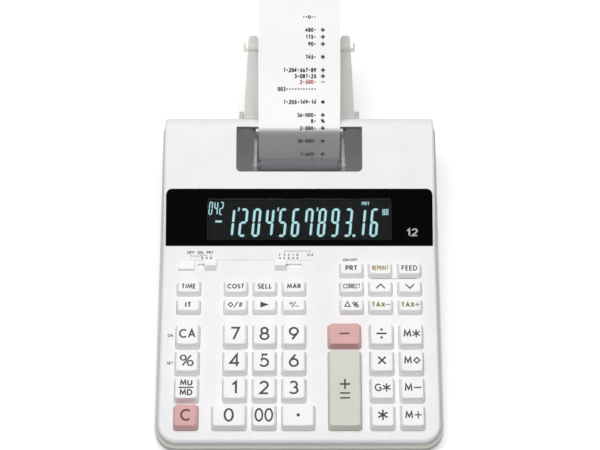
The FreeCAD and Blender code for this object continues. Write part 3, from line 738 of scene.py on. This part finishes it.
digit_names = ("zero", "one", "two", "three", "four", "five", "six", "seven", "eight", "nine")
legends = {name: [word(str(i), 9.5, 0, 0, 1.08)] for i, name in enumerate(digit_names)}
memory = word("M", 5.4, -2.6, 0, 1.06)
legends.update({
    "double_zero": [word("00", 9.5, 0, 0, 0.92)],
    "point": [word("dot", 2.3)],
    "clear": [word("C", 8.4)],
    "mark_up": [word("MU", 4.3, 0, 3.4, 1.12), word("line", 10.2), word("MD", 4.3, 0, -3.4, 1.12)],
    "percent": [word("percent", 8.2, 0, 0, 1.3)],
    "clear_all": [word("CA", 6.4)],
    "plus": [word("plus", 7.0, 0, 2.4), word("equals", 6.8, 0, -5.6)],
    "minus": [word("minus", 6.8)],
    "total": [word("star", 7.2)],
    "grand_total": [word("G", 5.4, -2.9), word("star", 5.8, 2.8)],
    "multiply": [word("times", 7.2)],
    "divide": [word("divide", 7.0)],
    "memory_plus": [memory, word("plus", 4.9, 3.4)],
    "memory_minus": [memory, word("minus", 5.0, 3.5)],
    "memory_subtotal": [memory, word("diamond", 5.3, 3.4)],
    "memory_total": [memory, word("star", 5.8, 3.4)],
    "item": [word("IT", 4.2)],
    "time": [word("TIME", 3.7)],
    "sub_total": [word("diamond", 4.2, -3.4), word("slash", 4.4, 0.2), word("#", 3.9, 3.5)],
    "cost": [word("COST", 3.5)],
    "backspace": [word("play", 6.0)],
    "sell": [word("SELL", 3.8)],
    "sign": [word("plus", 3.0, -1.9, 0.9), word("slash", 4.2), word("minus", 3.0, 2.1, -1.1)],
    "margin": [word("MAR", 3.7)],
    "change": [word("triangle", 4.3, -3.0, -0.2), word("small percent", 4.2, 2.6, 0, 1.2)],
    "correct": [word("CORRECT", 3.6, 0, 0, 0.58)],
    "print": [word("PRT", 4.0)],
    "tax_minus": [word("TAX", 3.8, -1.7), word("minus", 3.4, 4.8)],
    "up": [word("up", 6.0)],
    "reprint": [word("REPRINT", 3.6, 0, 0, 0.68)],
    "tax_plus": [word("TAX", 3.8, -1.7), word("plus", 3.5, 4.8)],
    "down": [word("down", 6.0)],
    "feed": [word("FEED", 3.9)],
})

# Finish, slot and ink of the keys that are not white with grey signs
key_looks = {
    "clear": (key_pink, "key_pink", legend_maroon),
    "minus": (key_pink, "key_pink", legend_maroon),
    "plus": (key_grey, "key_grey", legend_grey),
    "tax_minus": (key_white, "key_white", legend_olive),
    "tax_plus": (key_white, "key_white", legend_olive),
    "reprint": (key_white, "key_white", legend_gold),
}
for name, words in legends.items():
    finish, slot, ink = key_looks.get(name, (key_white, "key_white", legend_grey))
    add_legend("key_" + name, add_key("key_" + name, finish, slot), words, ink)


def add_hole_corners():
    """Rounds the corners of the key openings to the shape of the caps."""
    bm = bmesh.new()
    radius = key_corner + key_gap - key_spread
    steps = 6

    def fill(edge_x, edge_y, side_x, side_y):
        """Fills one corner between the two edges that meet there."""
        corner = [(edge_x, edge_y)]
        for i in range(steps + 1):
            angle = math.pi / 2 * i / steps
            x = edge_x + side_x * radius * (1 - math.sin(angle))
            corner.append((x, edge_y + side_y * radius * (1 - math.cos(angle))))
        for row in skin(bm, [deck.lifted(corner, out) for out in (-wall, 0)]):
            bm.faces.new(row)

    for name in legends:
        low, high = deck.span("key_" + name)
        for edge_x, side_x in ((low.x + flange_lip - key_gap, 1), (high.x - flange_lip + key_gap, -1)):
            for edge_y, side_y in ((low.y - key_gap, 1), (high.y + key_gap, -1)):
                fill(edge_x, edge_y, side_x, side_y)
    add_piece("key_hole_corners", bm, case_white, "case", "case_white")


add_hole_corners()


# Marks on the deck

def add_deck_marks():
    """Position dots, leader lines and short words behind the two switches and beside some keys."""
    dot_row, decimal_row, power_row = 133.7, 136.2, 137.9
    power_dots = (-67.5, -64.4, -61.5)
    decimal_dots = (-13.4, -10.4, -7.3, -4.3, -1.3)
    # Text, height, stroke width as a share of it, and place across and along, in millimetres
    words = [
        ("OFF", 2.2, 0.22, -75.6, power_row), ("ON", 2.2, 0.22, -69.0, power_row),
        ("PRT", 2.2, 0.22, -62.2, power_row), ("5/4", 2.2, 0.17, 7.6, decimal_row),
        ("ON/OFF", 2.1, 0.22, 35.4, 132.4), ("ON", 2.1, 0.22, -88.2, 77.1),
        ("SET", 2.1, 0.22, -87.9, 57.4),
    ]
    words += [(text, 2.0, 0.19, x, decimal_row) for text, x in zip("F3210", decimal_dots)]
    off, on, printing = power_dots
    leaders = [
        [(-75.6, 136.6), (-75.6, 135.2), (off, 135.2), (off, 134.4)],
        [(-69.0, 136.6), (-69.0, 136.0), (on, 136.0), (on, 134.4)],
        [(printing, 136.6), (printing, 134.4)],
        [(-10.4, 137.8), (-10.4, 139.0), (7.6, 139.0), (7.6, 137.8)],
        [(49.9, 118.4), (81.0, 118.4)],
    ]
    polygons = [disc(x * mm, dot_row * mm, switch_dot_radius) for x in power_dots + decimal_dots]
    for text, size, weight, x, y in words:
        polygons += placed(sign(text, weight), size * mm, x * mm, y * mm)
    for leader in leaders:
        polygons += ribbon([(x * mm, y * mm) for x, y in leader], leader_width)
    add_marks("deck_marks", polygons, deck.layer(-mark_depth / 2), mark_depth, legend_grey, "case")


def add_pad_plate():
    """The bare white plate on the raised pad at the left end of the switch groove."""
    rings = []
    for inset, out in ((0, plate_foot), (0, plate_top - plate_edge), (plate_inset, plate_top)):
        ring = rounded_ring(
            plate_left + inset, plate_right - inset, plate_front + inset, plate_rear - inset,
            plate_corner, plate_corner, steps=4, spans=1)
        rings.append(deck.lifted(ring, out))
    bm = bmesh.new()
    capped_skin(bm, rings)
    add_piece("switch_plate", bm, key_white, "case", "key_white")


add_deck_marks()
add_pad_plate()


# Display

def add_display_window():
    """The black plate with a clear pane over the liquid crystal panel."""
    low, high = display.span("display_window")
    view = rounded_ring(-view_width / 2, view_width / 2, view_front, view_rear, view_corner, view_corner)

    def rim(front, rear, out):
        """The plate's outline at a height, widened in front and behind."""
        ring = rounded_ring(
            low.x, high.x, low.y - front, high.y + rear, window_front_corner, window_rear_corner)
        return display.lifted(ring, out)

    foot = high.z - window_thickness
    film_top = high.z + window_film
    bm = bmesh.new()
    closed_skin(bm, [
        display.lifted(view, foot),
        rim(0, 0, foot),
        rim(0, 0, high.z + film_edge),
        rim(film_front, film_rear, high.z + film_edge),
        rim(film_front, film_rear, film_top - film_edge),
        rim(film_front - film_edge, film_rear - film_edge, film_top),
        display.lifted(view, film_top),
    ])
    add_piece("window_border", bm, window_black, "case", "window_black", ["display_window"])
    bm = bmesh.new()
    capped_skin(bm, [display.lifted(view, out) for out in (foot, high.z)])
    add_piece("window_pane", bm, pane_clear, "case", "window_black", ["display_window"])


# Lit segments of each digit: a to f run clockwise from the top, g is the middle one
lit_segments = {
    "0": "abcdef", "1": "bc", "2": "abged", "3": "abgcd", "4": "fgbc", "5": "afgcd", "6": "afgedc",
    "7": "fabc", "8": "abcdefg", "9": "abcdfg",
}
segment_gap = 0.08


def segment_digit(figure, width, height, stroke):
    """Faces of one seven-segment digit that leans to the right, from its lower left corner."""
    half = stroke / 2
    gap = stroke * segment_gap
    left, right = half, width - half
    low, middle, high = half, height / 2, height - half
    ends = {
        "a": ((left, high), (right, high)), "b": ((right, high), (right, middle)),
        "c": ((right, middle), (right, low)), "d": ((left, low), (right, low)),
        "e": ((left, middle), (left, low)), "f": ((left, high), (left, middle)),
        "g": ((left, middle), (right, middle)),
    }
    faces = []
    for name in lit_segments[figure]:
        start, end = Vector(ends[name][0]), Vector(ends[name][1])
        run = (end - start).normalized()
        side = Vector((-run.y, run.x)) * half
        start += run * gap
        end -= run * gap
        points = [start, start + run * half + side, end - run * half + side, end,
                  end - run * half - side, start + run * half - side]
        faces.append([(point.x + point.y * math.tan(digit_lean), point.y) for point in points])
    return faces


def segment_row(figures, left, foot, pitch, width, height, stroke):
    """Faces of some seven-segment digits side by side, from the lower left corner of the first one."""
    faces = []
    for i, figure in enumerate(figures):
        for face in segment_digit(figure, width, height, stroke):
            faces.append([(x + left + pitch * i, y + foot) for x, y in face])
    return faces


def add_display_digits():
    """A number of twelve digits with its marks, a small count, and the sign for the display's width."""
    polygons = segment_row(
        "120456789316", number_left, number_foot, digit_pitch, digit_width, digit_height, digit_stroke)
    low, high = number_foot + tick_foot, number_foot + tick_head
    for i in (1, 4, 7):
        x = number_left + digit_pitch * i - tick_setback + digit_height * math.tan(digit_lean)
        polygons.append(bar(x, low, x + tick_slant, high, tick_width))
    point_across = number_left + digit_pitch * 10 - point_setback
    polygons.append(disc(point_across, number_foot + point_rise, point_radius))
    polygons += segment_row(
        "042", count_left, count_foot, count_pitch, count_width, count_height, count_stroke)
    polygons.append(bar(minus_left, minus_rise, minus_right, minus_rise, minus_width))
    polygons += placed(sign("PRT", 0.18), mode_size, mode_across, mode_along)
    square = outline([(1, 1), (-1, 1), (-1, -1), (1, -1)], 0.45)
    for x in grid_columns:
        for y in grid_rows:
            polygons += placed(square, grid_half, x, y)
    panel_top = display.span("lcd_panel")[1].z
    add_marks("lcd_digits", polygons, display.layer(panel_top), lit_depth, lcd_light, "case")
    polygons = placed(sign("12", 0.17), twelve_size, twelve_across, twelve_along, 1.3)
    film_top = display.span("display_window")[1].z + window_film
    add_marks("width_sign", polygons, display.layer(film_top - lit_depth), lit_depth, legend_pale, "case")


add_display_window()
add_display_digits()


# Paper

class Tape:
    """The paper's way in the middle plane, by length from the slot: over 0 outside, under 0 inside."""

    def __init__(self):
        low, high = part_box("platen_roller")
        self.platen = Vector((0, (low.y + high.y) / 2, (low.z + high.z) / 2))
        self.reach = (high.z - low.z) / 2 + paper_gap
        low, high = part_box("paper_roll")
        roll = Vector((0, (low.y + high.y) / 2, (low.z + high.z) / 2))
        roll_reach = (high.z - low.z) / 2 + paper_gap
        self.slot = hood.point(0, slot_along, -slot_depth)
        self.rise_run = Vector((0, math.cos(paper_rise), math.sin(paper_rise)))
        self.rise_out = Vector((0, -math.sin(paper_rise), math.cos(paper_rise)))
        self.straight = (self.slot - self.platen - self.rise_out * self.reach).dot(self.rise_run)
        gap = roll - self.platen
        climb = math.atan2(gap.z, gap.y) - math.asin((roll_reach - self.reach) / gap.length)
        self.under = Vector((0, math.sin(climb), -math.cos(climb)))
        self.wrap = math.atan2(self.under.z, self.under.y) + 2 * math.pi - (paper_rise + math.pi / 2)
        self.meet = self.platen + self.under * self.reach
        self.roll_meet = roll + self.under * roll_reach
        self.run = (self.roll_meet - self.meet).length
        self.outside = curl_radius * (paper_rise - paper_end)
        self.inside = self.straight + self.reach * self.wrap

    def point(self, length, out):
        """The point at a length from the slot, moved out of the printed side."""
        if length >= 0:
            angle = paper_rise - length / curl_radius
            outward = Vector((0, -math.sin(angle), math.cos(angle)))
            return self.slot - self.rise_out * curl_radius + outward * (curl_radius + out)
        if length >= -self.straight:
            return self.slot + self.rise_run * length + self.rise_out * out
        if length >= -self.inside:
            angle = paper_rise + math.pi / 2 + (-self.straight - length) / self.reach
            return self.platen + Vector((0, math.cos(angle), math.sin(angle))) * (self.reach + out)
        onward = (self.roll_meet - self.meet).normalized()
        return self.meet + onward * (-self.inside - length) + self.under * out


tape = Tape()


def lean_forward(piece):
    """Bakes a piece's placing into its mesh."""
    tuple(tape.slot)
    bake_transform(piece)


def add_ribbon(name, lengths, teeth):
    """A thin closed strip of paper through these lengths; its first end is toothed if asked."""
    bm = bmesh.new()
    sheets = []
    for out in (paper_thickness / 2, -paper_thickness / 2):
        sheet = []
        for i, length in enumerate(lengths):
            row = []
            for j in range(paper_columns + 1):
                cut = tear_depth if teeth and i == 0 and j % 2 else 0
                point = tape.point(length - cut, out)
                point.x = paper_width * (j / paper_columns - 0.5)
                row.append(bm.verts.new(point))
            sheet.append(row)
        sheets.append(sheet)
    upper, lower = sheets
    for sheet in sheets:
        for first, second in zip(sheet, sheet[1:]):
            for j in range(paper_columns):
                bm.faces.new((first[j], first[j + 1], second[j + 1], second[j]))
    for i in range(len(lengths) - 1):
        for j in (0, paper_columns):
            bm.faces.new((upper[i][j], upper[i + 1][j], lower[i + 1][j], lower[i][j]))
    for i in (0, len(lengths) - 1):
        for j in range(paper_columns):
            bm.faces.new((upper[i][j], upper[i][j + 1], lower[i][j + 1], lower[i][j]))
    return add_piece(name, bm, paper_white, None, "paper", ["paper_tape"])


def steps_between(start, end, step):
    """Even places from one length to another, at most a step apart."""
    count = max(1, math.ceil(abs(end - start) / step))
    return [start + (end - start) * i / count for i in range(count + 1)]


def add_paper():
    """The printed strip and the feed run."""
    join = -tape.inside - join_run
    lengths = steps_between(tape.outside, 0, paper_step)
    lengths += steps_between(0, -tape.straight, straight_step)[1:]
    lengths += steps_between(-tape.straight, -tape.inside, bend_step)[1:] + [join]
    lean_forward(add_ribbon("paper_strip", lengths, True))
    feed = add_ribbon("paper_feed", steps_between(join, -tape.inside - tape.run, paper_step), False)
    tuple(tape.roll_meet)
    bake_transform(feed)


def add_print():
    """Invented sums, printed in even columns along the strip."""
    # Length from the slot in millimetres, figures, and the mark beside them
    rows = [
        (82.0, "..0..", ""), (71.75, "480.", "+"), (66.5, "175.", "+"), (61.25, "90.", "+"),
        (52.0, "745.", "*"), (42.75, "1.204.567.89", "+"), (38.5, "3.081.25", "+"), (34.5, "2.500.", "-"),
        (29.5, "003...........", ""), (20.25, "1.205.149.14", "*"), (10.75, "36.000.", "+"),
        (6.25, "8.", "%"), (0.75, "2.880.", "+"), (-9.5, "38.880.", "*"), (-20.0, "1.640.", "+"),
        (-24.75, "5.", "%"),
    ]
    marks = {"+": "bold plus", "-": "bold minus", "*": "bold star", "%": "%"}
    black, red = [], []
    for length, text, mark in rows:
        y = length * mm
        ink = red if mark == "-" else black
        for i, figure in enumerate(reversed(text)):
            x = print_right - print_pitch * i
            if figure == ".":
                ink.append(disc(x, y, print_dot_radius, 8))
            else:
                ink += placed(sign(figure, print_weight), print_height, x, y, print_squeeze)
        if mark:
            ink += placed(sign(marks[mark], print_mark_weight), print_mark_size, print_mark_across, y)

    def place(x, y, up):
        point = tape.point(y, paper_thickness / 2 + up - ink_sink)
        point.x = x
        return point

    lean_forward(add_marks("print_rows", black, place, ink_depth, print_black, None))
    lean_forward(add_marks("print_minus", red, place, ink_depth, print_red, None))


def add_roll():
    """The wound paper, with the edges of its turns on both ends, on a card core."""
    low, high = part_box("paper_roll")
    axis_y, axis_z = (low.y + high.y) / 2, (low.z + high.z) / 2
    radius = (high.z - low.z) / 2
    places = [vertex.co for vertex in nodes["paper_roll"].data.vertices]
    bore = min(math.hypot(place.y - axis_y, place.z - axis_z) for place in places)
    core = bore + core_wall

    def turned(name, profile, material):
        """A piece made by turning a closed profile of (x, distance from the axis) about the axis."""
        rings = []
        for x, reach in profile:
            ring = []
            for i in range(roll_sides):
                angle = 2 * math.pi * i / roll_sides
                y = axis_y + reach * math.cos(angle)
                ring.append(Vector((x, y, axis_z + reach * math.sin(angle))))
            rings.append(ring)
        bm = bmesh.new()
        closed_skin(bm, rings)
        add_piece(name, bm, material, "paper_roll", "paper", ["paper_roll"])

    end = []
    for i in range(roll_turns):
        outer = radius - (radius - core) * i / roll_turns
        inner = radius - (radius - core) * (i + turn_share) / roll_turns
        dip = turn_dip + turn_stagger * math.sin(turn_phase * i)
        end += [(dip, outer), (dip, inner), (dip + groove_depth, inner - groove_slant)]
    end.append((last_turn_dip, core))
    left = [(low.x + dip, reach) for dip, reach in end]
    right = [(high.x - dip, reach) for dip, reach in end]
    turned("roll_paper", left + right[::-1], roll_white)
    left, right = low.x + core_inset, high.x - core_inset
    turned("roll_core", [(left, core), (left, bore), (right, bore), (right, core)], core_card)


# Painted light: the paper strip glows faintly just above the slot, where it stands steeper, so that it
# looks as bright as the rest of the strip.
even_glow(paper_white, low=tape.slot.z, high=tape.slot.z + 38 * mm, strength=0.33)
# Painted light: the cover stays pale beside the paper, standing in for light on the shaded well walls
# beneath, and is darker over the paper.
darker_middle(cover_smoke, inner=paper_width / 2 - 1 * mm, outer=paper_width / 2 + 2 * mm, share=0.32)
add_paper()
add_print()
add_roll()


# CAD pieces that are shown as they are

def finish_node(node, material, bevel):
    """Gives a CAD node its finish and, if asked, softened edges."""
    piece = nodes[node]
    piece.data.materials.clear()
    piece.data.materials.append(material)
    if bevel:
        weld = piece.modifiers.new("weld", "WELD")
        weld.merge_threshold = weld_gap
        soft = piece.modifiers.new("soft", "BEVEL")
        soft.width = bevel
        soft.segments = bevel_segments
        soft.limit_method = "ANGLE"
        soft.angle_limit = bevel_angle
        soft.harden_normals = True


# Finish of each node and width of its softened edges
finishes = {
    "upper_case": (case_white, 0),
    "lower_case": (case_grey, 0),
    "rubber_feet": (rubber_dark, 0.4 * mm),
    "main_board": (board_green, 0),
    "key_mat": (rubber_pale, 0),
    "lcd_panel": (lcd_face, 0),
    "printer_cover": (cover_smoke, 0.3 * mm),
    "printer_frame": (frame_grey, 0.3 * mm),
    "platen_roller": (rubber_dark, 0),
    "print_drum": (drum_grey, 0),
    "ink_roller": (ink_felt, 0),
    "paper_holder": (holder_grey, 0.5 * mm),
    "power_knob": (key_white, 0.3 * mm),
    "decimal_knob": (key_white, 0.3 * mm),
}
for node, (finish, bevel) in finishes.items():
    finish_node(node, finish, bevel)


# Floor, light and camera

def backdrop_rays(tree):
    """A socket, 1 for the rays that show the backdrop: from the camera, off gloss and through glass."""
    path = new_node(tree, "LightPath")
    seen = path.outputs["Is Camera Ray"]
    for ray in ("Is Glossy Ray", "Is Transmission Ray"):
        either = new_node(tree, "Math", operation="MAXIMUM")
        link(seen, either.inputs[0])
        link(path.outputs[ray], either.inputs[1])
        seen = either.outputs[0]
    return seen


def add_floor():
    """A pale floor that the camera sees as white where no shadow falls, also far from the lamp."""
    corners = disc(0, 0, floor_reach * math.sqrt(2), 4, math.pi / 4)
    mesh = bpy.data.meshes.new("floor")
    mesh.from_pydata([(x, y, 0) for x, y in corners], [], [range(4)])
    floor = put("floor", mesh)
    material = bpy.data.materials.new("floor_white")
    material.use_nodes = True
    tree = material.node_tree
    tree.nodes.clear()
    matt = new_node(tree, "BsdfDiffuse", {"Color": floor_grey})
    glow = new_node(tree, "Emission")
    link(backdrop_rays(tree), glow.inputs["Strength"])
    distance = new_node(tree, "VectorMath", operation="LENGTH")
    share = new_node(tree, "MapRange", {"From Min": floor_near, "From Max": floor_far})
    level = new_node(tree, "ValToRGB")
    near, remote = level.color_ramp.elements
    near.color = near_glow
    remote.color = far_glow
    link(own_place(tree), distance.inputs[0])
    link(distance.outputs["Value"], share.inputs["Value"])
    link(share.outputs["Result"], level.inputs["Fac"])
    link(level.outputs["Color"], glow.inputs["Color"])
    both = new_node(tree, "AddShader")
    link(matt.outputs[0], both.inputs[0])
    link(glow.outputs[0], both.inputs[1])
    output = new_node(tree, "OutputMaterial")
    link(both.outputs[0], output.inputs["Surface"])
    mesh.materials.append(material)


def add_world():
    """Even light from all round, shown as white."""
    white = (1, 1, 1, 1)
    world = bpy.data.worlds.new("studio")
    world.use_nodes = True
    tree = world.node_tree
    light = tree.nodes["Background"]
    light.inputs["Color"].default_value = white
    light.inputs["Strength"].default_value = sky_strength
    shown = new_node(tree, "Background", {"Color": white})
    choice = new_node(tree, "MixShader")
    link(backdrop_rays(tree), choice.inputs["Fac"])
    link(light.outputs[0], choice.inputs[1])
    link(shown.outputs[0], choice.inputs[2])
    link(choice.outputs[0], tree.nodes["World Output"].inputs["Surface"])
    bpy.context.scene.world = world


def add_lamp():
    """A square area lamp over the object, turned towards it."""
    light = bpy.data.lights.new("top_panel", "AREA")
    light.shape = "SQUARE"
    light.size = lamp_size
    light.energy = lamp_power
    lamp = put("top_panel", light)
    lamp.location = lamp_place
    lamp.rotation_euler = (Vector(lamp_target) - Vector(lamp_place)).to_track_quat("-Z", "Y").to_euler()
    lamp.visible_glossy = False


def add_camera():
    """The photo's view: straight from the front, sixty degrees up."""
    lens = bpy.data.cameras.new("photo_view")
    lens.lens = camera_lens
    camera = put("photo_view", lens)
    camera.location = camera_place
    camera.rotation_euler = (camera_turn, 0, 0)
    bpy.context.scene.camera = camera


add_floor()
add_lamp()
add_world()
bpy.context.scene.view_settings.view_transform = "Standard"
add_camera()
